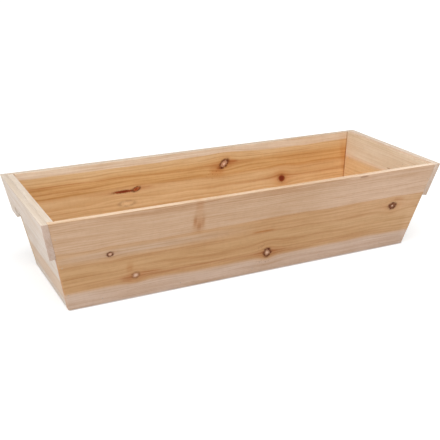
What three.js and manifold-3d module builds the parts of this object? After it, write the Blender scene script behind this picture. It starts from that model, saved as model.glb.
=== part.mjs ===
// Wooden window box planter, in millimetres. +X runs along the box, -Y is its front and +Z is up.
// The origin is the middle of the base, on the ground. All four walls lean outwards.
import * as THREE from 'three';
import { mergeVertices } from 'three/addons/utils/BufferGeometryUtils.js';
import Module from 'manifold-3d';

// The box, measured outside the boards
const HEIGHT = 168;
const RIM_LENGTH = 740;
const BASE_LENGTH = 674;
const RIM_WIDTH = 282;
const BASE_WIDTH = 206;
const BOARD = 10.4; // thickness of every board
const JOINT = 0.3; // hairline between two boards that meet

// The floor board and its row of drain holes
const FLOOR_LIFT = 6; // its underside, over the ground
const DRAIN_COUNT = 5;
const DRAIN_PITCH = 130;
const DRAIN_RADIUS = 6;

// The handle cleats, with a finger grip cut into their lower edge
const CLEAT_DROP = 65; // from the rim, down the slope
const GRIP_LENGTH = 172;
const GRIP_DEPTH = 21;
const GRIP_CORNER = 15;

// Brads: round shank, small flat head, blunt point
const BRAD_LENGTH = 28;
const CLEAT_BRAD_LENGTH = 17.5; // through the end panel, stopping inside the cleat
const HEAD_RADIUS = 0.9;
const HEAD_THICKNESS = 0.8;
const SHANK_RADIUS = 0.6;
const POINT_LENGTH = 2.5;
const HEAD_SINK = 0.3; // the head's top, below the wood's face
const BRAD_CLEARANCE = 0.3;
const BRAD_SIDES = 8;

// Where the brads go; drops are measured down the slope from the rim
const CORNER_DROPS = [30, 86, 142];
const FLOOR_BRAD_COUNT = 5; // along each long wall
const FLOOR_BRAD_PITCH = 140;
const END_BRAD_OFFSETS = [-50, 50]; // across each end wall, into the floor
const CLEAT_BRADS = [[-64, 20], [64, 20], [-104, 52], [104, 52]]; // across the end, and drop

// How far each wall moves outwards for each millimetre of height
const LONG_LEAN = (RIM_WIDTH - BASE_WIDTH) / 2 / HEIGHT;
const END_LEAN = (RIM_LENGTH - BASE_LENGTH) / 2 / HEIGHT;
// The level thickness of a leaning board
const LONG_THICKNESS = BOARD * Math.hypot(1, LONG_LEAN);
const END_THICKNESS = BOARD * Math.hypot(1, END_LEAN);
const FLOOR_MIDDLE = FLOOR_LIFT + BOARD / 2;

const halfLength = (z) => BASE_LENGTH / 2 + END_LEAN * z;
const halfWidth = (z) => BASE_WIDTH / 2 + LONG_LEAN * z;
const insideHalfLength = (z) => halfLength(z) - END_THICKNESS - JOINT;
const insideHalfWidth = (z) => halfWidth(z) - LONG_THICKNESS - JOINT;
const heightAtDrop = (drop, lean) => HEIGHT - drop / Math.hypot(1, lean);

const woodMaterial = (name, color, roughness) =>
  new THREE.MeshStandardMaterial({ name, color, roughness, metalness: 0 });
const frontWood = woodMaterial('front_wood', 0xd9ad7e, 0.72);
const backWood = woodMaterial('back_wood', 0xdf9f5c, 0.72);
const endWood = woodMaterial('end_wood', 0xe0bd96, 0.74);
const floorWood = woodMaterial('floor_wood', 0xd3a06a, 0.76);
const cleatWood = woodMaterial('cleat_wood', 0xe6cbaa, 0.74);
const bradSteel = new THREE.MeshStandardMaterial({
  name: 'brad_steel', color: 0x9a9a96, roughness: 0.45, metalness: 0.9,
});

const wasm = await Module();
wasm.setup();

function toSolid(geometry) {
  const bare = geometry.clone();
  bare.deleteAttribute('normal');
  bare.deleteAttribute('uv');
  const welded = mergeVertices(bare, 1e-4);
  return new wasm.Manifold(new wasm.Mesh({
    numProp: 3,
    vertProperties: new Float32Array(welded.attributes.position.array),
    triVerts: new Uint32Array(welded.index.array),
  }));
}

function toGeometry(solid) {
  const mesh = solid.getMesh();
  const geometry = new THREE.BufferGeometry();
  geometry.setAttribute('position', new THREE.BufferAttribute(mesh.vertProperties, 3));
  geometry.setIndex(new THREE.BufferAttribute(mesh.triVerts, 1));
  geometry.computeVertexNormals();
  return geometry;
}

// A board with level top and bottom edges. spanAt(z) gives its reach along X and Y at a height.
function leaningBoard(zLow, zHigh, spanAt) {
  const geometry = new THREE.BoxGeometry(1, 1, 1);
  const corners = geometry.attributes.position;
  for (let i = 0; i < corners.count; i += 1) {
    const z = corners.getZ(i) > 0 ? zHigh : zLow;
    const { x, y } = spanAt(z);
    const cornerX = corners.getX(i) > 0 ? x[1] : x[0];
    const cornerY = corners.getY(i) > 0 ? y[1] : y[0];
    corners.setXYZ(i, cornerX, cornerY, z);
  }
  geometry.computeVertexNormals();
  return geometry;
}

// The front or back board. Its frame sits on the middle of its lower outer edge, facing -Y.
function longPanelGeometry() {
  return leaningBoard(0, HEIGHT, (z) => ({
    x: [-halfLength(z), halfLength(z)],
    y: [-LONG_LEAN * z, LONG_THICKNESS - LONG_LEAN * z],
  }));
}

// An end board, held between the two long ones. Its frame is on its lower outer edge, facing -X.
function endPanelGeometry() {
  return leaningBoard(0, HEIGHT, (z) => ({
    x: [-END_LEAN * z, END_THICKNESS - END_LEAN * z],
    y: [-insideHalfWidth(z), insideHalfWidth(z)],
  }));
}

function floorGeometry() {
  const board = leaningBoard(FLOOR_LIFT, FLOOR_LIFT + BOARD, (z) => ({
    x: [-insideHalfLength(z), insideHalfLength(z)],
    y: [-insideHalfWidth(z), insideHalfWidth(z)],
  }));
  const drill = new THREE.CylinderGeometry(DRAIN_RADIUS, DRAIN_RADIUS, 3 * BOARD, 24);
  drill.rotateX(Math.PI / 2);
  drill.translate(-DRAIN_PITCH * (DRAIN_COUNT - 1) / 2, 0, FLOOR_MIDDLE);
  let floor = toSolid(board);
  for (let i = 0; i < DRAIN_COUNT; i += 1) {
    floor = floor.subtract(toSolid(drill));
    drill.translate(DRAIN_PITCH, 0, 0);
  }
  return toGeometry(floor);
}

// A handle cleat, laid on an end board's outer face: cut square along its lower edge, and flush
// with the rim and with both long boards. It is in the end board's frame.
function handleCleatGeometry() {
  const reach = RIM_WIDTH / 2 + BOARD;
  const lower = -CLEAT_DROP;
  const grip = GRIP_LENGTH / 2;
  const gripTop = lower + GRIP_DEPTH;
  const outline = new THREE.Shape();
  outline.moveTo(-reach, BOARD);
  outline.lineTo(-reach, lower);
  outline.lineTo(-grip, lower);
  outline.absarc(-grip + GRIP_CORNER, gripTop - GRIP_CORNER, GRIP_CORNER,
    Math.PI, Math.PI / 2, true);
  outline.absarc(grip - GRIP_CORNER, gripTop - GRIP_CORNER, GRIP_CORNER,
    Math.PI / 2, 0, true);
  outline.lineTo(grip, lower);
  outline.lineTo(reach, lower);
  outline.lineTo(reach, BOARD);
  const blank = new THREE.ExtrudeGeometry(outline, {
    depth: BOARD, bevelEnabled: false, curveSegments: 4,
  });
  const across = new THREE.Vector3(0, -1, 0);
  const upSlope = new THREE.Vector3(-END_LEAN, 0, 1).normalize();
  const outwards = new THREE.Vector3().crossVectors(across, upSlope);
  const innerFace = new THREE.Vector3(-END_LEAN * HEIGHT, 0, HEIGHT);
  innerFace.addScaledVector(outwards, JOINT);
  const place = new THREE.Matrix4().makeBasis(across, upSlope, outwards).setPosition(innerFace);
  blank.applyMatrix4(place);
  const envelope = leaningBoard(0, HEIGHT, (z) => ({
    x: [-RIM_LENGTH / 2, RIM_LENGTH / 2],
    y: [-halfWidth(z), halfWidth(z)],
  }));
  return toGeometry(toSolid(blank).intersect(toSolid(envelope)));
}

// A turned form along -Y, from profile points of radius and height
function turned(profile) {
  const points = profile.map(([radius, y]) => new THREE.Vector2(radius, y));
  return new THREE.LatheGeometry(points, BRAD_SIDES);
}

function bradGeometry(length) {
  return turned([
    [0, -length],
    [SHANK_RADIUS, POINT_LENGTH - length],
    [SHANK_RADIUS, -HEAD_THICKNESS],
    [HEAD_RADIUS, -HEAD_THICKNESS],
    [HEAD_RADIUS, 0],
    [0, 0],
  ]);
}

function bradHoleGeometry(length) {
  const shank = SHANK_RADIUS + BRAD_CLEARANCE;
  const head = HEAD_RADIUS + BRAD_CLEARANCE;
  const end = -length - BRAD_CLEARANCE;
  const step = -HEAD_THICKNESS - BRAD_CLEARANCE;
  return turned([[0, end], [shank, end], [shank, step], [head, step], [head, 1], [0, 1]]);
}

// A brad driven through a point of a board's face, in a direction
function brad(name, point, direction, length) {
  const mesh = new THREE.Mesh(bradGeometry(length), bradSteel);
  const drive = new THREE.Vector3(...direction).normalize();
  mesh.name = name;
  mesh.quaternion.setFromUnitVectors(new THREE.Vector3(0, -1, 0), drive);
  mesh.position.set(...point).addScaledVector(drive, HEAD_SINK);
  mesh.userData.holeLength = length;
  return mesh;
}

function namedMesh(name, geometry, material) {
  const mesh = new THREE.Mesh(geometry, material);
  mesh.name = name;
  return mesh;
}

// A long wall: its board, the brads into both end boards and the brads into the floor
function longWall(side, material) {
  const wall = new THREE.Group();
  wall.add(namedMesh(`${side}_panel`, longPanelGeometry(), material));
  CORNER_DROPS.forEach((drop, i) => {
    const z = heightAtDrop(drop, LONG_LEAN);
    const x = halfLength(z) - END_THICKNESS / 2;
    const inwards = [0, 1, LONG_LEAN];
    wall.add(brad(`${side}_corner_brad_a${i + 1}`, [-x, -LONG_LEAN * z, z], inwards, BRAD_LENGTH));
    wall.add(brad(`${side}_corner_brad_b${i + 1}`, [x, -LONG_LEAN * z, z], inwards, BRAD_LENGTH));
  });
  for (let i = 0; i < FLOOR_BRAD_COUNT; i += 1) {
    const x = (i - (FLOOR_BRAD_COUNT - 1) / 2) * FLOOR_BRAD_PITCH;
    const point = [x, -LONG_LEAN * FLOOR_MIDDLE, FLOOR_MIDDLE];
    wall.add(brad(`${side}_floor_brad_${i + 1}`, point, [0, 1, 0], BRAD_LENGTH));
  }
  return wall;
}

// An end wall: its board, the handle cleat outside it, the brads driven from inside into the
// cleat and the brads into the floor
function endWall(side) {
  const wall = new THREE.Group();
  wall.add(namedMesh(`${side}_end_panel`, endPanelGeometry(), endWood));
  wall.add(namedMesh(`${side}_handle_cleat`, handleCleatGeometry(), cleatWood));
  CLEAT_BRADS.forEach(([y, drop], i) => {
    const z = heightAtDrop(drop, END_LEAN);
    const point = [END_THICKNESS - END_LEAN * z, y, z];
    const outwards = [-1, 0, -END_LEAN];
    wall.add(brad(`${side}_cleat_brad_${i + 1}`, point, outwards, CLEAT_BRAD_LENGTH));
  });
  END_BRAD_OFFSETS.forEach((y, i) => {
    const point = [-END_LEAN * FLOOR_MIDDLE, y, FLOOR_MIDDLE];
    wall.add(brad(`${side}_floor_brad_${i + 1}`, point, [1, 0, 0], BRAD_LENGTH));
  });
  return wall;
}

// Opens the holes that the brads need in every board that they pass through
function drillForBrads(object) {
  object.updateMatrixWorld(true);
  const meshes = [];
  object.traverse((child) => child.isMesh && meshes.push(child));
  const brads = meshes.filter((mesh) => mesh.userData.holeLength);
  const boards = meshes.filter((mesh) => !mesh.userData.holeLength);
  for (const board of boards) {
    const boardBox = new THREE.Box3().setFromObject(board);
    const toBoard = board.matrixWorld.clone().invert();
    let solid = toSolid(board.geometry);
    for (const pin of brads) {
      if (!boardBox.intersectsBox(new THREE.Box3().setFromObject(pin))) continue;
      const hole = bradHoleGeometry(pin.userData.holeLength);
      hole.applyMatrix4(pin.matrixWorld).applyMatrix4(toBoard);
      solid = solid.subtract(toSolid(hole));
    }
    board.geometry = toGeometry(solid);
  }
}

const planter = new THREE.Group();
planter.name = 'window_box_planter';

const front = longWall('front', frontWood);
front.position.y = -BASE_WIDTH / 2;

const back = longWall('back', backWood);
back.position.y = BASE_WIDTH / 2;
back.rotation.z = Math.PI;

const leftEnd = endWall('left');
leftEnd.position.x = -BASE_LENGTH / 2;

const rightEnd = endWall('right');
rightEnd.position.x = BASE_LENGTH / 2;
rightEnd.rotation.z = Math.PI;

planter.add(front, back, leftEnd, rightEnd);
planter.add(namedMesh('floor_board', floorGeometry(), floorWood));
drillForBrads(planter);

export default planter;
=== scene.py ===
"""Window box planter of bare softwood: the looks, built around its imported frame."""
import math
from collections import namedtuple

import bmesh
import bpy
from mathutils import Matrix, Vector, noise


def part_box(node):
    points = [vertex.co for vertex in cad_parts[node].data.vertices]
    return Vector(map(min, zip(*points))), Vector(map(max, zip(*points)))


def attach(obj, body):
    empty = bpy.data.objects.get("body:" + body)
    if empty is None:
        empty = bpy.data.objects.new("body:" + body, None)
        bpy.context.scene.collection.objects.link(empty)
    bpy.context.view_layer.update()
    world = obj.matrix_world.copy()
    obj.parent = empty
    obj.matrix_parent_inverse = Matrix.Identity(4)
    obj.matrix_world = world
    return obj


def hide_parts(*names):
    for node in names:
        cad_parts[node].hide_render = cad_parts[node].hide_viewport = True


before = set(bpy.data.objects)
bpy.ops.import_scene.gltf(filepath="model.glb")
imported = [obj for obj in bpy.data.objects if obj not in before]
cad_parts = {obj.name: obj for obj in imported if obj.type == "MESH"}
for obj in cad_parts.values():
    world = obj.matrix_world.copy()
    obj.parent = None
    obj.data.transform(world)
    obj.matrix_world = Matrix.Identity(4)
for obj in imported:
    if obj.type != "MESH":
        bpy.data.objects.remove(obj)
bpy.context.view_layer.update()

MM = 0.001

# ---------------------------------------------------------------------------------------------
# Measures, in millimetres unless a comment says otherwise
# ---------------------------------------------------------------------------------------------
GRID_STEP = 5.0           # the faces' mesh, fine enough to carry the boards' unevenness
THICKNESS_CELLS = 2
ARRIS = 0.4               # how far the planed edges are eased
ARRIS_STEPS = 3
ARRIS_ANGLE = 35          # degrees; an edge that turns more than this is eased
ARRIS_WEAR = 0.12         # how much further an edge is worn in places
ARRIS_WEAR_LENGTH = 9.0
ARRIS_WORN_ANGLE = 20     # degrees of turn at which a corner wears fully
UNEVENNESS = 0.12         # how far a planed face wanders inwards
UNEVEN_LENGTH = 90.0
SEED_STEPS = (7.3, 3.1, 5.7)  # from one board's unevenness to the next one's, in noise cells
SMOOTH_ANGLE = 18         # degrees; an edge that turns less than this is shaded smooth
JOINT_TAKE_UP = 0.12      # each board's share in closing a joint to a hairline
WELD = 0.005              # corners of a cut closer together than this become one

CLEAT_DROP = 65.0
GRIP_LENGTH = 172.0       # the finger grip cut into each cleat
GRIP_DEPTH = 21.0
GRIP_CORNER = 15.0
GRIP_CORNER_STEPS = 10

DRAIN_RADIUS = 6.0
DRAIN_CHAMFER = 1.0
DRAIN_PITCH = 130.0
DRAIN_COUNT = 5
DRAIN_SIDES = 40

BRAD_HEAD_RADIUS = 0.9
BRAD_HEAD_THICKNESS = 0.7
BRAD_SHANK_RADIUS = 0.6
BRAD_TIP_RADIUS = 0.15
BRAD_SINK = 0.3           # the head, below the wood's face
BRAD_SIDES = 16
POCKET_RADIUS = 0.98      # the dent that the driven head leaves
POCKET_TAPER = 0.94
POCKET_SPARE = 1.2        # how far its cutter stands clear of the face
POCKET_REACH = 1.5        # a head nearer to a face than this has a pocket there
POCKET_SLACK = 1.0        # how far outside a board's box such a head may lie

CAMERA_PLACE = Vector((-0.6361, -1.2440, 0.5978))  # metres
CAMERA_AZIMUTH = 26.63    # degrees, turned right from +Y
CAMERA_DROP = 20.80       # degrees below level
CAMERA_ROLL = 0.48        # degrees
CAMERA_LENS = 65.1
CAMERA_SENSOR = 36.0
CAMERA_REACH = (0.01, 100)  # metres

AMBIENT = 0.40            # the studio's light from all round; white is 1
Softbox = namedtuple("Softbox", "name place target size watts")
SOFTBOXES = (             # metres
    Softbox("top_softbox", (-0.15, -1.1, 2.4), (0, 0, 0), 2.2, 54),
    Softbox("left_softbox", (-2.6, -0.5, 1.2), (0, 0, 0.1), 1.6, 26),
)
FLOOR_SIZE = 12           # metres from its middle to its side
FLOOR_GREY = 0.62
FLOOR_ROUGHNESS = 0.9
FLOOR_GLOW_NEAR = 0.55    # added to what is seen directly, so that the floor looks white
FLOOR_GLOW_FAR = 0.80
FLOOR_GLOW_START = 0.55   # metres from the planter's middle
FLOOR_GLOW_END = 1.30
CONTACT_SHADOW = 0.006    # metres in which the glow rises at the foot
CONTACT_SHADOW_IN = 0.6   # the share of that which lies inside the foot at both ends

# ---------------------------------------------------------------------------------------------
# The boards' own axes, read from the frame
# ---------------------------------------------------------------------------------------------
# origin is the middle of the outer rim edge. Seen from outside, along runs to the right, down
# runs down the board's slope and inward goes through its thickness.
Board = namedtuple("Board", "name origin along down inward corners")
# A leaning board's corners are told apart by their height first, and then by their depth
HEIGHT_WEIGHT = 10
DEPTH_WEIGHT = 5


def farthest(points, direction):
    return max(points, key=lambda p: p.dot(direction))


def corner_points(points, across, up, outward):
    """Eight corners, keyed by their signs across, up and outward."""
    up, outward = HEIGHT_WEIGHT * up, DEPTH_WEIGHT * outward
    signs = [(a, u, o) for a in (-1, 1) for u in (-1, 1) for o in (-1, 1)]
    return {(a, u, o): farthest(points, a * across + u * up + o * outward) for a, u, o in signs}


def read_board(name, outward, across):
    """A board's own axes and corners, from its solid and the level way that it faces."""
    points = [v.co.copy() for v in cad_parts[name].data.vertices]
    outward, across = Vector(outward), Vector(across)
    corners = corner_points(points, across, outward.cross(across), outward)
    rim = (corners[-1, 1, 1] + corners[1, 1, 1]) / 2
    foot = (corners[-1, -1, 1] + corners[1, -1, 1]) / 2
    down = (foot - rim).normalized()
    inward = across.cross(down)
    corners = corner_points(points, across, -down, -inward)
    return Board(name, rim, across, down, inward, corners)


BOARDS = {board.name: board for board in (
    read_board("front_panel", (0, -1, 0), (1, 0, 0)),
    read_board("back_panel", (0, 1, 0), (-1, 0, 0)),
    read_board("left_end_panel", (-1, 0, 0), (0, -1, 0)),
    read_board("right_end_panel", (1, 0, 0), (0, 1, 0)),
    read_board("left_handle_cleat", (-1, 0, 0), (0, -1, 0)),
    read_board("right_handle_cleat", (1, 0, 0), (0, 1, 0)),
    read_board("floor_board", (0, 0, 1), (1, 0, 0)),
)}
LONG_BOARDS = ("front_panel", "back_panel")
WALLS = LONG_BOARDS + ("left_end_panel", "right_end_panel")
CLEATS = ("left_handle_cleat", "right_handle_cleat")
# Which faces of a board meet a neighbour: its ends, its two long edges, its outer and inner face
MEETS = {
    "front_panel": (1, 0, 0, 1),
    "back_panel": (1, 0, 0, 1),
    "left_end_panel": (1, 0, 1, 0),
    "right_end_panel": (1, 0, 1, 0),
    "left_handle_cleat": (0, 0, 0, 1),
    "right_handle_cleat": (0, 0, 0, 1),
    "floor_board": (1, 1, 0, 0),
}


def board_turn(board):
    return Matrix((board.along, board.down, board.inward)).transposed()


def on_board(board, along, drop, depth=0.0):
    """A point given in millimetres on a board, in the frame's metres."""
    offset = board.along * along + board.down * drop + board.inward * depth
    return board.origin + offset * MM


def fitted_corners(board):
    """A board's corners, with the faces that meet a neighbour grown to a hairline joint."""
    ends, edges, outer, inner = MEETS[board.name]
    fitted = {}
    for (a, u, o), corner in board.corners.items():
        depth = -outer if o > 0 else inner
        growth = board.along * a * ends - board.down * u * edges + board.inward * depth
        fitted[a, u, o] = corner + growth * JOINT_TAKE_UP * MM
    return fitted


# ---------------------------------------------------------------------------------------------
# Mesh work
# ---------------------------------------------------------------------------------------------
def object_from(bm, name):
    mesh = bpy.data.meshes.new(name)
    bmesh.ops.recalc_face_normals(bm, faces=bm.faces)
    bm.to_mesh(mesh)
    bm.free()
    piece = bpy.data.objects.new(name, mesh)
    bpy.context.scene.collection.objects.link(piece)
    return piece


def plank_shell(board):
    """A gridded closed shell through a board's eight corners."""
    c = fitted_corners(board)
    length = (c[1, 1, 1] - c[-1, 1, 1]).length / MM
    height = (c[1, 1, 1] - c[1, -1, 1]).length / MM
    counts = (round(length / GRID_STEP), round(height / GRID_STEP), THICKNESS_CELLS)
    bm = bmesh.new()
    placed = {}

    def vertex(i, j, k):
        if (i, j, k) not in placed:
            a, u, o = i / counts[0], j / counts[1], k / counts[2]
            place = Vector()
            for (sa, su, so), corner in c.items():
                weight = (a if sa > 0 else 1 - a) * (u if su > 0 else 1 - u)
                place += corner * weight * (o if so > 0 else 1 - o)
            placed[i, j, k] = bm.verts.new(place)
        return placed[i, j, k]

    for axis in range(3):
        first, second = [x for x in range(3) if x != axis]
        for side in (0, counts[axis]):
            for p in range(counts[first]):
                for q in range(counts[second]):
                    square = []
                    for dp, dq in ((0, 0), (1, 0), (1, 1), (0, 1)):
                        index = [side] * 3
                        index[first], index[second] = p + dp, q + dq
                        square.append(vertex(*index))
                    bm.faces.new(square)
    bmesh.ops.recalc_face_normals(bm, faces=bm.faces)
    return bm


def ease_arrises(bm):
    """Rounds every sharp edge of a board."""
    sharp = [e for e in bm.edges if e.calc_face_angle(0) > math.radians(ARRIS_ANGLE)]
    bmesh.ops.bevel(bm, geom=sharp, offset=ARRIS * MM, offset_type="OFFSET",
                    segments=ARRIS_STEPS, profile=0.5, affect="EDGES", clamp_overlap=True)


def make_uneven(bm, seed):
    """Lets planed faces wander a little inwards, and wears the arrises unevenly."""
    bm.normal_update()
    shift = Vector([seed * step for step in SEED_STEPS])
    moves = []
    for v in bm.verts:
        place = v.co / MM
        slow = 0.5 + 0.5 * noise.noise(place / UNEVEN_LENGTH + shift)
        wear = 0.5 + 0.5 * noise.noise(place / ARRIS_WEAR_LENGTH + shift)
        turning = max(e.calc_face_angle(0) for e in v.link_edges)
        on_arris = min(turning / math.radians(ARRIS_WORN_ANGLE), 1)
        moves.append(slow * UNEVENNESS + wear * on_arris * ARRIS_WEAR)
    for v, move in zip(bm.verts, moves):
        v.co -= v.normal * move * MM


def smooth_faces(piece):
    mesh = piece.data
    mesh.polygons.foreach_set("use_smooth", [True] * len(mesh.polygons))
    mesh.set_sharp_from_angle(angle=math.radians(SMOOTH_ANGLE))


def settle(piece):
    """Makes what an object's modifiers give its own plain mesh."""
    depsgraph = bpy.context.evaluated_depsgraph_get()
    mesh = bpy.data.meshes.new_from_object(piece.evaluated_get(depsgraph))
    piece.modifiers.clear()
    piece.data = mesh
    mesh.name = piece.name


def cut_away(piece, cutter):
    """Cuts one closed mesh out of another, and removes the cutter."""
    cut = piece.modifiers.new("cut", "BOOLEAN")
    cut.operation = "DIFFERENCE"
    cut.solver = "EXACT"
    cut.object = cutter
    settle(piece)
    bpy.data.objects.remove(cutter)
    bm = bmesh.new()
    bm.from_mesh(piece.data)
    bmesh.ops.remove_doubles(bm, verts=bm.verts, dist=WELD * MM)
    bm.to_mesh(piece.data)
    bm.free()


def dress(piece, material, slot, *nodes):
    """Gives a finished piece its material and its place on the planter."""
    smooth_faces(piece)
    piece.data.materials.clear()
    piece.data.materials.append(material)
    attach(piece, "root")
    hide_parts(*nodes)


# ---------------------------------------------------------------------------------------------
# Brads, their pockets and the drain holes: one kind of Geometry Nodes tree sets round pins on
# points, which are either kept as they are or cut out of a board
# ---------------------------------------------------------------------------------------------
Pin = namedtuple("Pin", "head drive length")


def read_brad(name):
    """Where a brad's head is, which way it is driven and how long it is."""
    # A corner that several triangles share counts once
    points = {tuple(round(x, 6) for x in v.co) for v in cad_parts[name].data.vertices}
    points = [Vector(p) for p in sorted(points)]
    middle = sum(points, Vector()) / len(points)
    tip = max(points, key=lambda p: (p - middle).length)
    drive = (tip - middle).normalized()
    length = max((tip - p).dot(drive) for p in points)
    return Pin(tip - drive * length, drive, length)


BRAD_NODES = sorted(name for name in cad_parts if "_brad_" in name)
BRADS = [read_brad(name) for name in BRAD_NODES]


def put_on_points(tree, given, turn, shape, scale=None):
    """One copy of a shape on every point, turned along the point's drive."""
    put = tree.nodes.new("GeometryNodeInstanceOnPoints")
    tree.links.new(given.outputs["Geometry"], put.inputs["Points"])
    tree.links.new(shape, put.inputs["Instance"])
    tree.links.new(turn.outputs["Rotation"], put.inputs["Rotation"])
    if scale is not None:
        feed(put.inputs["Scale"], scale)
    return put.outputs["Instances"]


def pin_tree(name, sides, headed):
    """Geometry Nodes: a tapered round pin on every point, with a flat head or without."""
    tree = bpy.data.node_groups.new(name, "GeometryNodeTree")
    face = tree.interface
    face.new_socket("Geometry", in_out="INPUT", socket_type="NodeSocketGeometry")
    for number in ("Head Radius", "Head Thickness", "Shank Radius", "Tip Radius"):
        if headed or "Head" not in number:
            face.new_socket(number, in_out="INPUT", socket_type="NodeSocketFloat")
    face.new_socket("Material", in_out="INPUT", socket_type="NodeSocketMaterial")
    face.new_socket("Geometry", in_out="OUTPUT", socket_type="NodeSocketGeometry")
    link = tree.links.new
    given = tree.nodes.new("NodeGroupInput")
    result = tree.nodes.new("NodeGroupOutput")

    drive = tree.nodes.new("GeometryNodeInputNamedAttribute")
    drive.data_type = "FLOAT_VECTOR"
    drive.inputs["Name"].default_value = "drive"
    length = tree.nodes.new("GeometryNodeInputNamedAttribute")
    length.data_type = "FLOAT"
    length.inputs["Name"].default_value = "length"
    turn = tree.nodes.new("FunctionNodeAlignRotationToVector")
    turn.axis = "Z"
    link(drive.outputs["Attribute"], turn.inputs["Vector"])

    # The shank is one metre long, and is stretched to each pin's own length
    shank = tree.nodes.new("GeometryNodeMeshCone")
    shank.inputs["Vertices"].default_value = sides
    shank.inputs["Depth"].default_value = 1.0
    link(given.outputs["Shank Radius"], shank.inputs["Radius Bottom"])
    link(given.outputs["Tip Radius"], shank.inputs["Radius Top"])
    stretch = vector(1.0, 1.0, Wire(length.outputs["Attribute"]))
    join = tree.nodes.new("GeometryNodeJoinGeometry")
    link(put_on_points(tree, given, turn, shank.outputs["Mesh"], stretch), join.inputs["Geometry"])

    if headed:
        head = tree.nodes.new("GeometryNodeMeshCylinder")
        head.inputs["Vertices"].default_value = sides
        link(given.outputs["Head Radius"], head.inputs["Radius"])
        link(given.outputs["Head Thickness"], head.inputs["Depth"])
        seat = tree.nodes.new("GeometryNodeTransform")
        link(head.outputs["Mesh"], seat.inputs["Geometry"])
        lift = Wire(given.outputs["Head Thickness"]) * 0.5
        feed(seat.inputs["Translation"], vector(0.0, 0.0, lift))
        link(put_on_points(tree, given, turn, seat.outputs["Geometry"]), join.inputs["Geometry"])

    real = tree.nodes.new("GeometryNodeRealizeInstances")
    paint = tree.nodes.new("GeometryNodeSetMaterial")
    link(join.outputs["Geometry"], real.inputs["Geometry"])
    link(real.outputs["Geometry"], paint.inputs["Geometry"])
    link(given.outputs["Material"], paint.inputs["Material"])
    link(paint.outputs["Geometry"], result.inputs["Geometry"])
    return tree


def make_pins(name, pins, tree, values):
    """Sets a tree's pins on bare points that carry their drive and length."""
    mesh = bpy.data.meshes.new(name)
    mesh.from_pydata([pin.head for pin in pins], [], [])
    mesh.attributes.new("drive", "FLOAT_VECTOR", "POINT")
    mesh.attributes.new("length", "FLOAT", "POINT")
    # Fetched only now, because a new attribute moves the ones made before it
    drive, length = mesh.attributes["drive"], mesh.attributes["length"]
    for i, pin in enumerate(pins):
        drive.data[i].vector = pin.drive
        length.data[i].value = pin.length
    piece = bpy.data.objects.new(name, mesh)
    bpy.context.scene.collection.objects.link(piece)
    setter = piece.modifiers.new(name, "NODES")
    setter.node_group = tree
    for item in tree.interface.items_tree:
        if item.in_out == "INPUT" and item.name in values:
            setter[item.identifier] = values[item.name]
    settle(piece)
    return piece


def make_brads(steel):
    brads = make_pins("brads", BRADS, pin_tree("set_brads", BRAD_SIDES, True), {
        "Head Radius": BRAD_HEAD_RADIUS * MM,
        "Head Thickness": BRAD_HEAD_THICKNESS * MM,
        "Shank Radius": BRAD_SHANK_RADIUS * MM,
        "Tip Radius": BRAD_TIP_RADIUS * MM,
        "Material": steel,
    })
    dress(brads, steel, "brad_steel", *BRAD_NODES)


def make_cutters(name, pins, sides, low_radius, high_radius):
    """Plain round plugs to cut out of a board, in millimetres."""
    radii = {"Shank Radius": low_radius * MM, "Tip Radius": high_radius * MM}
    return make_pins(name, pins, pin_tree(name, sides, False), radii)


def opens_in(brad, board):
    """Whether a brad's head lies just under one of this board's two faces."""
    low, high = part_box(board.name)
    slack = POCKET_SLACK * MM
    if any(not low[i] - slack <= brad.head[i] <= high[i] + slack for i in range(3)):
        return False
    thickness = max((p - board.origin).dot(board.inward) for p in board.corners.values())
    depth = abs((brad.head - board.origin).dot(board.inward))
    return min(depth, abs(depth - thickness)) < POCKET_REACH * MM


def make_plank(name, seed):
    """A board, with a pocket over each brad's head that opens in its faces."""
    board = BOARDS[name]
    bm = plank_shell(board)
    ease_arrises(bm)
    make_uneven(bm, seed)
    piece = object_from(bm, f"{name}_wood")
    above = (BRAD_SINK + POCKET_SPARE) * MM
    depth = above + BRAD_HEAD_THICKNESS * MM
    pockets = [Pin(brad.head - brad.drive * above, brad.drive, depth)
               for brad in BRADS if opens_in(brad, board)]
    if pockets:
        cut_away(piece, make_cutters(f"{name}_pockets", pockets, BRAD_SIDES, POCKET_RADIUS,
                                     POCKET_RADIUS * POCKET_TAPER))
    return piece


def drain_pins(start, end):
    """Upright pins in a row along the floor, from one height to another, in metres."""
    first = -(DRAIN_COUNT - 1) / 2 * DRAIN_PITCH * MM
    heads = [Vector((first + i * DRAIN_PITCH * MM, 0, start)) for i in range(DRAIN_COUNT)]
    return [Pin(head, Vector((0, 0, 1)), end - start) for head in heads]


def make_floor(seed):
    """The floor board, with its row of drain holes countersunk from above."""
    floor = make_plank("floor_board", seed)
    low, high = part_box("floor_board")
    drills = drain_pins(low.z - DRAIN_RADIUS * MM, high.z + DRAIN_RADIUS * MM)
    mouths = drain_pins(high.z - 2 * DRAIN_CHAMFER * MM, high.z + DRAIN_CHAMFER * MM)
    cut_away(floor, make_cutters("drills", drills, DRAIN_SIDES, DRAIN_RADIUS, DRAIN_RADIUS))
    cut_away(floor, make_cutters("mouths", mouths, DRAIN_SIDES, DRAIN_RADIUS - DRAIN_CHAMFER,
                                 DRAIN_RADIUS + 2 * DRAIN_CHAMFER))
    return floor


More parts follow.
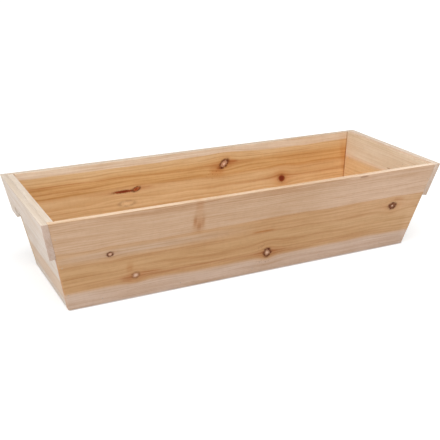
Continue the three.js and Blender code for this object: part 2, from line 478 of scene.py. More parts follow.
def make_cleat(name):
    """A handle cleat from its outline: a slanting end, the finger grip, a slanting end."""
    board = BOARDS[name]
    c = fitted_corners(board)
    depth = (c[1, 1, -1] - c[1, 1, 1]).dot(board.inward) / MM

    def flat(corner):
        away = (corner - board.origin) / MM
        return away.dot(board.along), away.dot(board.down)

    grip, top, r = GRIP_LENGTH / 2, CLEAT_DROP - GRIP_DEPTH, GRIP_CORNER
    foot = flat(c[1, -1, 1])[1]
    outline = [(-grip, foot)]
    for side in (-1, 1):
        for i in range(GRIP_CORNER_STEPS + 1):
            turn = math.pi / 2 * i / GRIP_CORNER_STEPS
            turn = turn if side < 0 else math.pi / 2 - turn
            outline.append((side * (grip - r + r * math.cos(turn)), top + r - r * math.sin(turn)))
    outline.append((grip, foot))
    loops = []
    bm = bmesh.new()
    for outward, w in ((1, 0.0), (-1, depth)):
        ends = [flat(c[-1, 1, outward]), flat(c[-1, -1, outward])]
        far = [flat(c[1, -1, outward]), flat(c[1, 1, outward])]
        loop = ends + outline + far
        loops.append([bm.verts.new(on_board(board, u, s, w)) for u, s in loop])
    outer, inner = loops
    bm.faces.new(outer)
    bm.faces.new(list(reversed(inner)))
    for i in range(len(outer)):
        j = (i + 1) % len(outer)
        bm.faces.new((outer[j], outer[i], inner[i], inner[j]))
    bmesh.ops.recalc_face_normals(bm, faces=bm.faces)
    ease_arrises(bm)
    return object_from(bm, f"{name}_wood")


# ---------------------------------------------------------------------------------------------
# Material arithmetic: plain sums on wires, turned into nodes
# ---------------------------------------------------------------------------------------------
def colour(red, green, blue):
    """A screen colour, 0 to 255 a channel, as linear light by the sRGB curve."""
    def light(value):
        value /= 255
        return value / 12.92 if value <= 0.04045 else ((value + 0.055) / 1.055) ** 2.4
    return (light(red), light(green), light(blue), 1.0)


def feed(slot, value):
    if isinstance(value, Wire):
        slot.id_data.links.new(value.socket, slot)
    else:
        slot.default_value = value


class Wire:
    """A number, vector or colour on its way through a material. Sums on it add nodes."""

    def __init__(self, socket):
        self.socket = socket
        self.tree = socket.id_data

    def math(self, operation, *values):
        node = self.tree.nodes.new("ShaderNodeMath")
        node.operation = operation
        for slot, value in zip(node.inputs, values):
            feed(slot, value)
        return Wire(node.outputs[0])

    def __add__(self, other):
        return self.math("ADD", self, other)

    def __sub__(self, other):
        return self.math("SUBTRACT", self, other)

    def __mul__(self, other):
        return self.math("MULTIPLY", self, other)

    def __truediv__(self, other):
        return self.math("DIVIDE", self, other)

    __radd__ = __add__
    __rmul__ = __mul__

    def __rsub__(self, other):
        return self.math("SUBTRACT", other, self)

    def size(self):
        return self.math("ABSOLUTE", self)

    def root(self):
        return self.math("SQRT", self)

    def squared(self):
        return self * self

    def whole(self):
        return self.math("FLOOR", self)

    def part(self):
        return self.math("FRACT", self)

    def most(self, other):
        return self.math("MAXIMUM", self, other)

    def fading(self):
        """1 where this is 0, falling off as it grows."""
        return self.math("EXPONENT", self * -1.0)

    def bell(self, width):
        """1 in the middle, falling off smoothly over a width."""
        return (self / width).squared().fading()

    def rise(self, start, end):
        """0 before start, 1 after end, smooth between them."""
        node = self.tree.nodes.new("ShaderNodeMapRange")
        node.interpolation_type = "SMOOTHSTEP"
        feed(node.inputs["Value"], self)
        feed(node.inputs["From Min"], start)
        feed(node.inputs["From Max"], end)
        return Wire(node.outputs["Result"])

    def toward(self, other, share):
        """This colour, mixed towards another by a share."""
        return mixed(self.tree, "MIX", self, other, share)

    def tinted(self, other, share):
        """This colour, multiplied by another by a share."""
        return mixed(self.tree, "MULTIPLY", self, other, share)


# A Mix node's sockets for colours share their names with its other kinds', so they go by number
MIX_FACTOR = 0
MIX_FIRST = 6
MIX_SECOND = 7
MIX_RESULT = 2


def mixed(tree, kind, base, other, share):
    node = tree.nodes.new("ShaderNodeMix")
    node.data_type = "RGBA"
    node.blend_type = kind
    feed(node.inputs[MIX_FACTOR], share)
    feed(node.inputs[MIX_FIRST], base)
    feed(node.inputs[MIX_SECOND], other)
    return Wire(node.outputs[MIX_RESULT])


def vector(x, y, z):
    tree = next(v.tree for v in (x, y, z) if isinstance(v, Wire))
    node = tree.nodes.new("ShaderNodeCombineXYZ")
    for slot, value in zip(node.inputs, (x, y, z)):
        feed(slot, value)
    return Wire(node.outputs[0])


def cloud(place, detail=2.0, roughness=0.5):
    """Soft noise from 0 to 1 over a place given in noise cells."""
    node = place.tree.nodes.new("ShaderNodeTexNoise")
    node.inputs["Scale"].default_value = 1.0
    node.inputs["Detail"].default_value = detail
    node.inputs["Roughness"].default_value = roughness
    feed(node.inputs["Vector"], place)
    return Wire(node.outputs["Fac"])


def lot(number):
    """A fixed random number from 0 to 1 for each value."""
    node = number.tree.nodes.new("ShaderNodeTexWhiteNoise")
    node.noise_dimensions = "1D"
    feed(node.inputs["W"], number)
    return Wire(node.outputs["Value"])


# ---------------------------------------------------------------------------------------------
# Wood
# ---------------------------------------------------------------------------------------------
# In all of these x is the planter's own X on the long boards and Y on the end boards, and drop
# is down the board's slope from the rim. A tint above 1 bleaches the wood.
Zone = namedtuple("Zone", "edge soft colour")
Mark = namedtuple("Mark", "x drop long wide tint share grain")
Knot = namedtuple("Knot", "x drop long wide tilt ragged heart core core_size bark halo tail")
END_GRAIN = (0.94, 0.85, 0.78, 1.0)
END_GRAIN_PALE = (1.0, 1.14, 1.45, 1.0)
END_GRAIN_GREY = (0.90, 0.79, 0.74, 1.0)
END_GRAIN_WARM = (1.04, 0.95, 0.89, 1.0)
# Painted light on the grip's two sides, which lie in the shade under the cleat
GRIP_SIDE_PAINTED_LIGHT = (1.08, 1.15, 1.20, 1.0)
Wood = namedtuple("Wood", "base shift pith ring lines streaks edge zones marks knots end",
                  defaults=(END_GRAIN,))
Place = namedtuple("Place", "along down inward flow end_on edge_on turn seed")

LINE_TINT = (0.80, 0.66, 0.50, 1.0)
STREAK_TINT = (0.82, 0.70, 0.56, 1.0)
PATCH_TINT = (0.90, 0.85, 0.78, 1.0)
RIPPLE_TINT = (0.88, 0.85, 0.82, 1.0)
PORE_TINT = (0.74, 0.64, 0.55, 1.0)
# The painted shade in the inner corners, where a long board meets the end boards
CORNER_SHADE_TINT = (0.58, 0.42, 0.30, 1.0)
HALO_TINT = (0.86, 0.62, 0.42, 1.0)
TAIL_TINT = (0.72, 0.44, 0.28, 1.0)
LIGHTER = (1.15, 1.21, 1.33, 1.0)
ROSE = (1.03, 1.20, 1.62, 1.0)
RED_BROWN = (0.70, 0.46, 0.32, 1.0)
BROWN = (0.76, 0.60, 0.45, 1.0)
ORANGE = (0.92, 0.74, 0.52, 1.0)
ORANGE_BROWN = (0.82, 0.60, 0.40, 1.0)
DARK = (0.40, 0.25, 0.18, 1.0)
BARK = colour(92, 38, 8)
ZINC_PALE = colour(206, 198, 186)
ZINC_GREY = colour(176, 168, 156)
ZINC_MOTTLE = 0.6         # millimetres

# Noise in the wood: how large its cells are along the grain, down the board and through it, in
# millimetres, whether a board's own shift moves it along or down, and its detail and roughness
Cells = namedtuple("Cells", "along down inward moved detail roughness", defaults=(2.0, 0.5))
SLOW_BEND = Cells(230, 80, 80, "along", 1.5)
QUICK_BEND = Cells(60, 22, 40, "along", 1.0)
RING_WOBBLE = Cells(70, 14, 14, "along")
STREAKS = Cells(130, 2.4, 2.4, "along", 5.0, 0.62)
FIBRES = Cells(12, 0.5, 0.5, "down", 3.0, 0.65)
PATCHES = Cells(90, 11, 11, "down")
RIPPLE = Cells(7.0, 12, 12, "along", 3.0, 0.6)
SPECKS = Cells(3.0, 3.0, 3.0, "down")
PORES = Cells(3.0, 0.7, 0.7, "down", 3.0, 0.7)
KNOT_EDGE = Cells(3.2, 3.2, 9.0, "along", 3.0, 0.6)

# How far the noise bends the grain, in millimetres, and how much and how far a knot does
SLOW_BEND_SIZE = 12.0
QUICK_BEND_SIZE = 2.4
KNOT_BEND = 0.6
KNOT_BEND_LONG = 3.0      # in knots
KNOT_BEND_WIDE = 2.6

# Growth lines
RING_WOBBLE_SIZE = 1.8    # millimetres
RING_SPREAD = 3.0         # rings; how unevenly wide they are
RING_SPREAD_LENGTH = 14   # millimetres
LATE_WOOD_START = 0.30    # of a ring
LATE_WOOD_END = 0.90
LEAST_DARKNESS = 0.2      # the palest line's, where the darkest one's is 1

# Where sapwood and heartwood meet, in millimetres
ZONE_WAVE = 6             # how far the line between them wanders
ZONE_WAVE_LONG = 110
ZONE_WAVE_WIDE = 9
ZONE_SLICE = 4.0          # where the noise is cut, in its cells

# Where a noise starts to show and where it shows fully, and its share of the tone
PATCHES_SHOW = (0.35, 0.70)
PATCHES_SHARE = 0.7
STREAKS_SHOW = (0.44, 0.68)
FIBRES_SHOW = (0.52, 0.74)
FIBRES_SHARE = 0.34
RIPPLE_SHOWS = (0.40, 0.72)
RIPPLE_SHARE = 0.28
PORES_SHOW = (0.45, 0.68)
PORES_SHARE = 0.45
STREAKY_MARKS_SHOW = (0.34, 0.62)
STREAKY_MARKS_LEAST = 0.15
SPECKED_MARKS_SHOW = (0.56, 0.68)
FACES_SHOW = (0.55, 0.85)  # how far a face is turned towards an axis

# Knots. Their reaches, lengths and widths are in knot radii where nothing else is said
HALO_REACH = 2.0
TAIL_LONG = 4.6
TAIL_WIDE = 0.7
TAIL_STRENGTH = 1.7
HEART_EDGE = (0.72, 1.05)
HEART_SHARE = 0.92
RAYS_CELL = 1.1           # millimetres
RAYS_SHOW = (0.5, 0.7)
RAYS_SHARE = 0.5
CORE_EDGE = 0.5           # in the core's own size
BARK_RADIUS = 0.98
BARK_WIDTH = 0.36
BARK_CELL = 5.0           # millimetres
BARK_SLICE = 2.0
BARK_SHOWS = (0.28, 0.62)
BARK_LEAST = 0.4

# Other places on a board, in millimetres
# Where the painted shade in the inner corners lies, and how wide it is
CORNER_SHADE_LINE = 11.4        # the inner corners, from a long board's end
CORNER_SHADE_WIDTH = 1.1
INNER_FACE = (7.0, 9.0)   # the depths between which a point comes to count as on the inner face
GRIP_SIDE_END = (8, 16)   # past the grip, where its sides, lightened with painted light, give way to the sawn ends

# Gloss and relief
WOOD_ROUGHNESS = 0.60
FIBRES_ROUGHNESS = 0.18
LINES_ROUGHNESS = -0.05
WOOD_SPECULAR = 0.22
LINES_RELIEF = 0.05
FIBRES_RELIEF = 0.07
STREAKS_RELIEF = 0.04
PORES_RELIEF = 0.12
RELIEF_STRENGTH = 0.9
ZINC_ROUGHNESS = 0.35
ZINC_MOTTLE_ROUGHNESS = 0.2
ZINC_METALLIC = 0.85


def board_wires(tree, board):
    """A point's place on its board in millimetres, and whether it is on an end or an edge."""
    where = tree.nodes.new("ShaderNodeTexCoord")
    mapping = tree.nodes.new("ShaderNodeMapping")
    mapping.vector_type = "TEXTURE"
    mapping.inputs["Location"].default_value = board.origin
    mapping.inputs["Rotation"].default_value = board_turn(board).to_euler("XYZ")
    mapping.inputs["Scale"].default_value = (MM, MM, MM)
    tree.links.new(where.outputs["Object"], mapping.inputs["Vector"])
    split = tree.nodes.new("ShaderNodeSeparateXYZ")
    tree.links.new(mapping.outputs["Vector"], split.inputs[0])
    faces = []
    for axis in (board.along, board.down):
        facing = tree.nodes.new("ShaderNodeVectorMath")
        facing.operation = "DOT_PRODUCT"
        facing.inputs[1].default_value = axis
        tree.links.new(where.outputs["Normal"], facing.inputs[0])
        faces.append(Wire(facing.outputs["Value"]).size().rise(*FACES_SHOW))
    return [Wire(out) for out in split.outputs] + faces


def wood_noise(cells, place, drop):
    """Noise at a place on a board, whose drop is either the plain one or the grain's."""
    along, down = place.along / cells.along, drop / cells.down
    if cells.moved == "along":
        along = along + place.seed
    else:
        down = down + place.seed
    return cloud(vector(along, down, place.inward / cells.inward), cells.detail, cells.roughness)


def place_on(tree, board, wood):
    """Where a point is on its board, with the drop bent as the grain wanders round knots."""
    along, down, inward, end_on, edge_on = board_wires(tree, board)
    turn = 1 if board.along.x + board.along.y > 0 else -1
    place = Place(along, down, inward, down, end_on, edge_on, turn, wood.shift)
    slow = wood_noise(SLOW_BEND, place, down) - 0.5
    quick = wood_noise(QUICK_BEND, place, down) - 0.5
    flow = down + slow * SLOW_BEND_SIZE + quick * QUICK_BEND_SIZE
    for knot in wood.knots:
        away_x, away_y = along - knot.x * turn, down - knot.drop
        near_x = (away_x / (KNOT_BEND_LONG * knot.long)).squared()
        near_y = (away_y / (KNOT_BEND_WIDE * knot.wide)).squared()
        flow = flow - away_y * (near_x + near_y).fading() * KNOT_BEND
    return place._replace(flow=flow)


def growth_lines(place, wood):
    """Late-wood lines: rings round the log's pith, each of its own darkness."""
    pith_drop, pith_depth = wood.pith
    from_pith = ((place.flow - pith_drop).squared() + (place.inward - pith_depth).squared()).root()
    wobble = wood_noise(RING_WOBBLE, place, place.down) - 0.5
    growth = (from_pith + wobble * RING_WOBBLE_SIZE) / wood.ring
    spread = cloud(vector(from_pith / RING_SPREAD_LENGTH, place.seed, 0.0), 1.0) - 0.5
    growth = growth + spread * RING_SPREAD
    season = growth.part()
    late_wood = season.rise(LATE_WOOD_START, LATE_WOOD_END)
    late_wood = late_wood * (1.0 - season.rise(LATE_WOOD_END, 1.0))
    return late_wood * (lot(growth.whole()) * (1 - LEAST_DARKNESS) + LEAST_DARKNESS)


def zoned_tone(tree, place, wood):
    """Sapwood and heartwood, from the rim down."""
    wave_x, wave_y = place.along / ZONE_WAVE_LONG + place.seed, place.down / ZONE_WAVE_WIDE
    wave = (cloud(vector(wave_x, wave_y, ZONE_SLICE), 3.0, 0.6) - 0.5) * ZONE_WAVE
    # The base colour alone, as a wire to build on
    tone = mixed(tree, "MIX", wood.base, wood.base, 0.0)
    for zone in wood.zones:
        share = (place.flow + wave).rise(zone.edge - zone.soft, zone.edge + zone.soft)
        tone = tone.toward(zone.colour, share)
    return tone


def marked(tone, place, marks, grains):
    """Stains, streaks, specks and bleached patches, all soft-edged. Streaks follow the grain."""
    for mark in marks:
        drop = place.flow if mark.grain == "streaky" else place.down
        away_x = ((place.along - mark.x * place.turn) / mark.long).squared().squared()
        away_y = ((drop - mark.drop) / mark.wide).squared()
        share = (away_x + away_y).fading() * grains[mark.grain] * mark.share
        tone = tone.tinted(mark.tint, share)
    return tone


def knotted(tone, place, knots, streaks):
    """Knots: a halo, reddish tails, a broken bark ring, the heart and its bright core."""
    ragged = wood_noise(KNOT_EDGE, place, place.down) - 0.5
    bark_x, bark_y = place.along / BARK_CELL, place.down / BARK_CELL + place.seed
    broken = cloud(vector(bark_x, bark_y, BARK_SLICE))
    rays = cloud(vector(place.along / RAYS_CELL, place.down / RAYS_CELL, place.seed))
    for knot in knots:
        away_x = place.along - knot.x * place.turn
        away_y = place.down - knot.drop
        c = math.cos(math.radians(knot.tilt * place.turn))
        s = math.sin(math.radians(knot.tilt * place.turn))
        long_way = (away_x * c + away_y * s) / knot.long
        wide_way = (away_y * c - away_x * s) / knot.wide
        distance = (long_way.squared() + wide_way.squared()).root() + ragged * knot.ragged
        tone = tone.tinted(HALO_TINT, distance.bell(HALO_REACH) * knot.halo)
        tail = away_y.bell(TAIL_WIDE * knot.wide) * away_x.bell(TAIL_LONG * knot.long) * knot.tail
        tone = tone.tinted(TAIL_TINT, tail * (streaks * TAIL_STRENGTH))
        inside = 1.0 - distance.rise(*HEART_EDGE)
        tone = tone.toward(knot.heart, inside * HEART_SHARE)
        tone = tone.tinted(RED_BROWN, rays.rise(*RAYS_SHOW) * inside * RAYS_SHARE)
        core = 1.0 - distance.rise(knot.core_size * CORE_EDGE, knot.core_size)
        tone = tone.toward(knot.core, core)
        bark = broken.rise(*BARK_SHOWS) * (1 - BARK_LEAST) + BARK_LEAST
        ring = (distance - BARK_RADIUS).bell(BARK_WIDTH) * bark
        tone = tone.toward(BARK, ring * knot.bark)
    return tone


def painted_corner_shade(place, board):
    """1 in the narrow line where a long board's inner face meets the end boards, where shade is
    painted into that joint.
    """
    rim = (board.corners[1, 1, -1] - board.origin) / MM
    foot = (board.corners[1, -1, -1] - board.origin) / MM
    rim_end, foot_end = rim.dot(board.along), foot.dot(board.along)
    rim_drop, foot_drop = rim.dot(board.down), foot.dot(board.down)
    slant = (rim_end - foot_end) / (foot_drop - rim_drop)
    from_end = rim_end - (place.down - rim_drop) * slant - place.along.size()
    return (from_end - CORNER_SHADE_LINE).bell(CORNER_SHADE_WIDTH) * place.inward.rise(*INNER_FACE)


def softwood(name, board_name, wood):
    """Bare planed softwood for one board, sawn from a round log with knots through it."""
    material = bpy.data.materials.new(name)
    material.use_nodes = True
    tree = material.node_tree
    shader = tree.nodes["Principled BSDF"]
    place = place_on(tree, BOARDS[board_name], wood)

    lines = growth_lines(place, wood)
    streaks = wood_noise(STREAKS, place, place.flow)
    patches = wood_noise(PATCHES, place, place.flow)
    fibres, ripple, specks, pores = [wood_noise(cells, place, place.down)
                                     for cells in (FIBRES, RIPPLE, SPECKS, PORES)]

    tone = zoned_tone(tree, place, wood)
    tone = tone.tinted(PATCH_TINT, patches.rise(*PATCHES_SHOW) * PATCHES_SHARE)
    tone = tone.tinted(LINE_TINT, lines * wood.lines)
    tone = tone.tinted(STREAK_TINT, streaks.rise(*STREAKS_SHOW) * wood.streaks)
    tone = tone.tinted(PORE_TINT, fibres.rise(*FIBRES_SHOW) * FIBRES_SHARE)
    tone = tone.tinted(RIPPLE_TINT, ripple.rise(*RIPPLE_SHOWS) * RIPPLE_SHARE)
    grains = {
        "even": 1.0,
        "streaky": streaks.rise(*STREAKY_MARKS_SHOW) + STREAKY_MARKS_LEAST,
        "specked": specks.rise(*SPECKED_MARKS_SHOW),
    }
    tone = marked(tone, place, wood.marks, grains)
    tone = knotted(tone, place, wood.knots, streaks)
    tone = tone.tinted(wood.edge, place.edge_on)

    # End grain has a tone of its own and open pores. The grip's two sides are left without them,
    # and are lightened with painted light against the shade under the cleat
    sawn = place.end_on
    if board_name in CLEATS:
        sawn_from, sawn_all = [GRIP_LENGTH / 2 + past for past in GRIP_SIDE_END]
        sawn = sawn * place.along.size().rise(sawn_from, sawn_all)
        tone = tone.tinted(GRIP_SIDE_PAINTED_LIGHT, place.end_on - sawn)
    tone = tone.tinted(wood.end, sawn)
    tone = tone.tinted(PORE_TINT, pores.rise(*PORES_SHOW) * sawn * PORES_SHARE)
    # Painted shade along the inner corners, where the long boards meet the end boards
    if board_name in LONG_BOARDS:
        tone = tone.tinted(CORNER_SHADE_TINT, painted_corner_shade(place, BOARDS[board_name]))

    feed(shader.inputs["Base Color"], tone)
    roughness = WOOD_ROUGHNESS + fibres * FIBRES_ROUGHNESS + lines * LINES_ROUGHNESS
    feed(shader.inputs["Roughness"], roughness)
    shader.inputs["Specular IOR Level"].default_value = WOOD_SPECULAR
    relief = lines * LINES_RELIEF + fibres * FIBRES_RELIEF + streaks * STREAKS_RELIEF
    relief = relief + pores * place.end_on * PORES_RELIEF
    bump = tree.nodes.new("ShaderNodeBump")
    bump.inputs["Distance"].default_value = MM
    bump.inputs["Strength"].default_value = RELIEF_STRENGTH
    feed(bump.inputs["Height"], relief)
    tree.links.new(bump.outputs["Normal"], shader.inputs["Normal"])
    return material


def zinc_steel():
    """Dull zinc-coated wire."""
    material = bpy.data.materials.new("zinc_wire")
    material.use_nodes = True
    tree = material.node_tree
    shader = tree.nodes["Principled BSDF"]
    where = Wire(tree.nodes.new("ShaderNodeTexCoord").outputs["Object"])
    scaled = tree.nodes.new("ShaderNodeVectorMath")
    scaled.operation = "SCALE"
    scaled.inputs["Scale"].default_value = 1 / (ZINC_MOTTLE * MM)
    feed(scaled.inputs[0], where)
    mottle = cloud(Wire(scaled.outputs[0]), 3.0)
    tone = mixed(tree, "MIX", ZINC_PALE, ZINC_GREY, mottle)
    feed(shader.inputs["Base Color"], tone)
    feed(shader.inputs["Roughness"], ZINC_ROUGHNESS + mottle * ZINC_MOTTLE_ROUGHNESS)
    shader.inputs["Metallic"].default_value = ZINC_METALLIC
    return material


# ---------------------------------------------------------------------------------------------
# The boards' figure
# ---------------------------------------------------------------------------------------------
SAP = colour(227, 192, 161)
SAP_PINK = colour(226, 200, 181)
HEART = colour(218, 175, 129)
HEART_LIGHT = colour(219, 175, 130)
GOLD = colour(223, 188, 142)
GOLD_PALE = colour(231, 211, 189)
GOLD_DEEP = colour(215, 172, 117)
PALE = colour(234, 222, 212)
TAN = colour(228, 205, 184)
PEACH = colour(228, 210, 185)
CREAM = colour(230, 194, 168)
BISCUIT = colour(206, 158, 124)
UMBER = colour(142, 88, 56)
RUST = colour(142, 60, 20)
RUST_DARK = colour(116, 44, 14)
GINGER = colour(176, 98, 54)

WOODS = {
    "front_panel": Wood(
        base=SAP, shift=3.1, pith=(99, 45), ring=3.0, lines=0.54, streaks=0.55,
        edge=(1.09, 1.27, 1.43, 1.0),
        zones=(Zone(59.5, 4.2, HEART_LIGHT), Zone(89, 3.6, HEART), Zone(141, 6.5, SAP_PINK)),
        marks=(
            Mark(-215, 73, 165, 9, ROSE, 1.0, "even"),
            Mark(290, 45, 150, 90, LIGHTER, 0.95, "even"),
            Mark(90, 61, 330, 2.6, ORANGE, 0.30, "streaky"),
            Mark(-30, 5, 340, 7, BROWN, 0.60, "streaky"),
            Mark(0, 132, 340, 4.5, RED_BROWN, 0.42, "streaky"),
            Mark(-105, 129, 90, 1.7, RED_BROWN, 0.38, "even"),
            Mark(-140, 91, 110, 4.5, BROWN, 0.34, "streaky"),
            Mark(20, 112, 190, 6.0, BROWN, 0.28, "streaky"),
            Mark(240, 86, 60, 3.5, BROWN, 0.22, "streaky"),
            Mark(120, 156, 210, 2.2, BROWN, 0.45, "streaky"),
            Mark(40, 166, 300, 2.6, BROWN, 0.22, "streaky"),
            Mark(12, 83.5, 21, 2.2, ORANGE_BROWN, 0.95, "even"),
            Mark(207, 3.4, 9, 1.5, DARK, 0.75, "even"),
            Mark(-117, 43, 11, 16, ORANGE_BROWN, 0.60, "even"),
            Mark(-124, 38, 3.0, 9, BROWN, 0.75, "even"),
            Mark(-116, 50, 4.0, 8, BROWN, 0.75, "even"),
            Mark(-109, 42, 2.4, 10, BROWN, 0.40, "even"),
            Mark(-118, 10, 7, 14, ORANGE_BROWN, 0.42, "even"),
            Mark(-235, 108, 6, 10, ORANGE_BROWN, 0.45, "even"),
            Mark(-239, 132, 9, 4, RED_BROWN, 0.70, "streaky"),
            Mark(-196, 126, 18, 3, RED_BROWN, 0.75, "streaky"),
            Mark(12, 116, 9, 9, DARK, 0.55, "specked"),
            Mark(18, 151, 14, 6, DARK, 0.60, "specked"),
            Mark(302, 68, 12, 5, RED_BROWN, 0.50, "streaky"),
            Mark(325, 88, 26, 22, LIGHTER, 0.45, "even"),
            Mark(342, 126, 14, 26, LIGHTER, 0.75, "even"),
        ),
        knots=(
            Knot(-270, 74.5, 4.9, 4.1, 0, 0.4, BISCUIT, CREAM, 0.45, 1.0, 0.20, 0.25),
            Knot(-224, 126.0, 6.4, 5.6, 0, 0.6, BISCUIT, CREAM, 0.66, 0.50, 0.38, 0.60),
            Knot(26, 131.5, 6.7, 7.9, -18, 0.8, BISCUIT, CREAM, 0.50, 1.15, 0.36, 0.65),
            Knot(289.5, 78.5, 7.6, 6.4, 8, 0.8, UMBER, CREAM, 0.34, 1.0, 0.35, 0.30),
        ),
    ),
    "back_panel": Wood(
        base=GOLD_PALE, shift=11.7, pith=(66, -40), ring=3.2, lines=0.60, streaks=0.68,
        edge=(0.83, 0.86, 0.90, 1.0), end=END_GRAIN_PALE,
        zones=(Zone(15, 2.5, GOLD), Zone(29, 7.0, GOLD_DEEP), Zone(58, 7.0, GOLD)),
        marks=(
            Mark(290, 60, 120, 60, ORANGE, 0.35, "even"),
            Mark(346, 58, 9, 48, ORANGE_BROWN, 0.50, "even"),
            Mark(39, 47, 15, 8, ORANGE_BROWN, 0.60, "even"),
            Mark(-240, 34, 130, 1.8, RED_BROWN, 0.65, "streaky"),
            Mark(-40, 40, 90, 1.6, BROWN, 0.30, "streaky"),
            Mark(-290, 46, 90, 3.0, RED_BROWN, 0.45, "streaky"),
            Mark(-50, 56, 70, 1.8, BROWN, 0.28, "streaky"),
            Mark(220, 35, 140, 2.2, BROWN, 0.45, "streaky"),
            Mark(230, 56, 140, 3.5, ORANGE, 0.50, "streaky"),
            Mark(230, 78, 130, 3.0, RED_BROWN, 0.40, "streaky"),
            Mark(34, 53, 18, 8, RED_BROWN, 0.75, "specked"),
            Mark(40, 17, 9, 6, DARK, 0.60, "specked"),
            Mark(66, 29, 5, 4.5, DARK, 0.65, "even"),
            Mark(76, 34, 12, 2.6, RED_BROWN, 0.85, "streaky"),
            Mark(47, 42, 7, 3.5, RED_BROWN, 0.75, "even"),
            Mark(-112, 58, 14, 1.8, RED_BROWN, 0.50, "even"),
        ),
        knots=(
            Knot(-160, 61.5, 21, 2.9, 0, 0.9, RUST, RUST_DARK, 0.6, 0.35, 0.35, 0.4),
            Knot(-133, 60.0, 7.8, 3.7, -18, 0.6, GINGER, RUST, 0.5, 0.90, 0.45, 0.3),
            Knot(57, 34.5, 9.6, 6.0, -38, 0.9, BISCUIT, CREAM, 0.30, 1.0, 0.60, 0.6),
            Knot(187, 81.0, 8.2, 7.8, 0, 0.35, RUST, RUST_DARK, 0.8, 0.30, 0.75, 0.4),
            Knot(-155, 85.0, 15, 5.0, 0, 0.4, GOLD, GOLD, 0.5, 0.28, 0.05, 0.0),
        ),
    ),
    "left_end_panel": Wood(
        base=PALE, shift=23.4, pith=(40, 70), ring=3.6, lines=0.22, streaks=0.30,
        edge=(0.88, 0.86, 0.81, 1.0),
        zones=(Zone(118, 4.0, TAN), Zone(155, 4.0, PALE)),
        marks=(Mark(95, 120, 40, 40, BROWN, 0.12, "streaky"),), knots=(),
    ),
    "right_end_panel": Wood(
        base=PEACH, shift=31.9, pith=(120, 60), ring=3.4, lines=0.35, streaks=0.35,
        edge=(0.88, 0.77, 0.74, 1.0),
        zones=(Zone(47, 1.4, GOLD_PALE), Zone(52, 6.0, GOLD)),
        marks=(Mark(-26, 41, 4.5, 1.2, DARK, 0.70, "even"),), knots=(),
    ),
    "left_handle_cleat": Wood(
        base=PALE, shift=42.2, pith=(10, 50), ring=3.2, lines=0.28, streaks=0.30,
        edge=(0.85, 0.83, 0.78, 1.0), end=END_GRAIN_GREY,
        zones=(), marks=(Mark(60, 40, 90, 16, BROWN, 0.14, "streaky"),), knots=(),
    ),
    "right_handle_cleat": Wood(
        base=PALE, shift=57.5, pith=(90, 40), ring=3.0, lines=0.32, streaks=0.30,
        edge=(0.89, 0.85, 0.80, 1.0), end=END_GRAIN_WARM,
        zones=(), marks=(Mark(-30, 26, 120, 4, ORANGE, 0.35, "streaky"),), knots=(),
    ),
    "floor_board": Wood(
        base=HEART_LIGHT, shift=66.3, pith=(80, 50), ring=3.4, lines=0.55, streaks=0.55,
        edge=(1.0, 1.0, 1.0, 1.0),
        zones=(Zone(44, 3.0, HEART), Zone(150, 4.0, SAP)),
        marks=(Mark(120, 118, 110, 4, RED_BROWN, 0.35, "streaky"),),
        knots=(
            Knot(-188, 62, 6.4, 5.4, 0, 0.6, UMBER, CREAM, 0.6, 0.9, 0.35, 0.5),
            Knot(236, 132, 7.0, 6.0, 0, 0.6, RUST, RUST_DARK, 0.6, 0.5, 0.45, 0.4),
        ),
    ),
}
SLOTS = {
    "front_panel": "front_wood",
    "back_panel": "back_wood",
    "left_end_panel": "end_wood",
    "right_end_panel": "end_wood",
    "left_handle_cleat": "cleat_wood",
    "right_handle_cleat": "cleat_wood",
    "floor_board": "floor_wood",
}


# ---------------------------------------------------------------------------------------------
# Camera, light and floor
# ---------------------------------------------------------------------------------------------
def make_camera():
    data = bpy.data.cameras.new("camera")
    data.lens = CAMERA_LENS
    data.sensor_width = CAMERA_SENSOR
    data.sensor_fit = "HORIZONTAL"
    data.clip_start, data.clip_end = CAMERA_REACH
    camera = bpy.data.objects.new("camera", data)
    aim = Matrix.Rotation(-math.radians(CAMERA_AZIMUTH), 4, "Z")
    aim = aim @ Matrix.Rotation(math.radians(90 - CAMERA_DROP), 4, "X")
    aim = aim @ Matrix.Rotation(math.radians(CAMERA_ROLL), 4, "Z")
    camera.matrix_world = Matrix.Translation(CAMERA_PLACE) @ aim
    bpy.context.scene.collection.objects.link(camera)
    bpy.context.scene.camera = camera


def make_softbox(softbox):
    data = bpy.data.lights.new(softbox.name, "AREA")
    data.shape = "SQUARE"
    data.size = softbox.size
    data.energy = softbox.watts
    lamp = bpy.data.objects.new(softbox.name, data)
    place, target = Vector(softbox.place), Vector(softbox.target)
    aim = (target - place).to_track_quat("-Z", "Y").to_matrix().to_4x4()
    lamp.matrix_world = Matrix.Translation(place) @ aim
    bpy.context.scene.collection.objects.link(lamp)


def seen_directly(tree):
    """1 for what is seen by the camera, in gloss or through glass, and 0 for light."""
    path = tree.nodes.new("ShaderNodeLightPath")
    seen = Wire(path.outputs["Is Camera Ray"])
    seen = seen.most(Wire(path.outputs["Is Glossy Ray"]))
    return seen.most(Wire(path.outputs["Is Transmission Ray"]))


def make_world():
    world = bpy.data.worlds.new("studio")
    bpy.context.scene.world = world
    world.use_nodes = True
    tree = world.node_tree
    backdrop = tree.nodes["Background"]
    backdrop.inputs["Color"].default_value = (1, 1, 1, 1)
    seen = seen_directly(tree)
    feed(backdrop.inputs["Strength"], seen * (1 - AMBIENT) + AMBIENT)


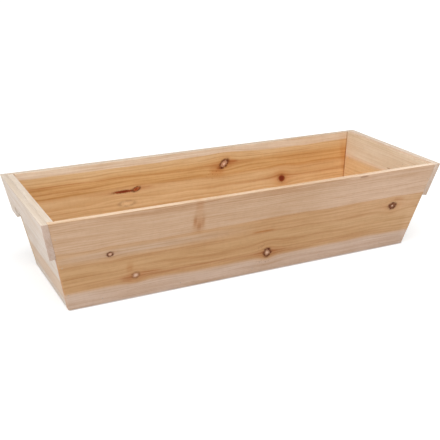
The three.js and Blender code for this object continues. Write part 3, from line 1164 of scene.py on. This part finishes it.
def make_floor_plane():
    """A pale floor that looks white, apart from the planter's soft shadow."""
    bm = bmesh.new()
    bmesh.ops.create_grid(bm, x_segments=1, y_segments=1, size=FLOOR_SIZE)
    plane = object_from(bm, "studio_floor")
    material = bpy.data.materials.new("pale_floor")
    material.use_nodes = True
    tree = material.node_tree
    shader = tree.nodes["Principled BSDF"]
    shader.inputs["Base Color"].default_value = (FLOOR_GREY, FLOOR_GREY, FLOOR_GREY, 1)
    shader.inputs["Roughness"].default_value = FLOOR_ROUGHNESS
    shader.inputs["Specular IOR Level"].default_value = 0.0
    shader.inputs["Emission Color"].default_value = (1, 1, 1, 1)
    split = tree.nodes.new("ShaderNodeSeparateXYZ")
    where = tree.nodes.new("ShaderNodeTexCoord")
    tree.links.new(where.outputs["Object"], split.inputs[0])
    x, y = Wire(split.outputs[0]), Wire(split.outputs[1])
    far = (x.squared() + y.squared()).root().rise(FLOOR_GLOW_START, FLOOR_GLOW_END)
    glow = far * (FLOOR_GLOW_FAR - FLOOR_GLOW_NEAR) + FLOOR_GLOW_NEAR
    # Under the planter and along its foot the floor keeps its own shade
    foot_x = BOARDS["right_end_panel"].corners[1, -1, 1].x
    foot_y = BOARDS["back_panel"].corners[1, -1, 1].y
    past_end = x.size() - (foot_x - CONTACT_SHADOW * CONTACT_SHADOW_IN)
    past_foot = past_end.most(y.size() - foot_y)
    glow = glow * past_foot.rise(0.0, CONTACT_SHADOW)
    feed(shader.inputs["Emission Strength"], seen_directly(tree) * glow)
    plane.data.materials.append(material)


# ---------------------------------------------------------------------------------------------
# The planter
# ---------------------------------------------------------------------------------------------
make_camera()
make_world()
make_floor_plane()
for softbox in SOFTBOXES:
    make_softbox(softbox)

make_brads(zinc_steel())
wooden = {name: make_plank(name, seed) for seed, name in enumerate(WALLS)}
wooden["floor_board"] = make_floor(seed=len(WALLS))
for name in CLEATS:
    wooden[name] = make_cleat(name)
for name, piece in wooden.items():
    dress(piece, softwood(f"{name}_softwood", name, WOODS[name]), SLOTS[name], name)

bpy.context.scene.view_settings.view_transform = "Standard"
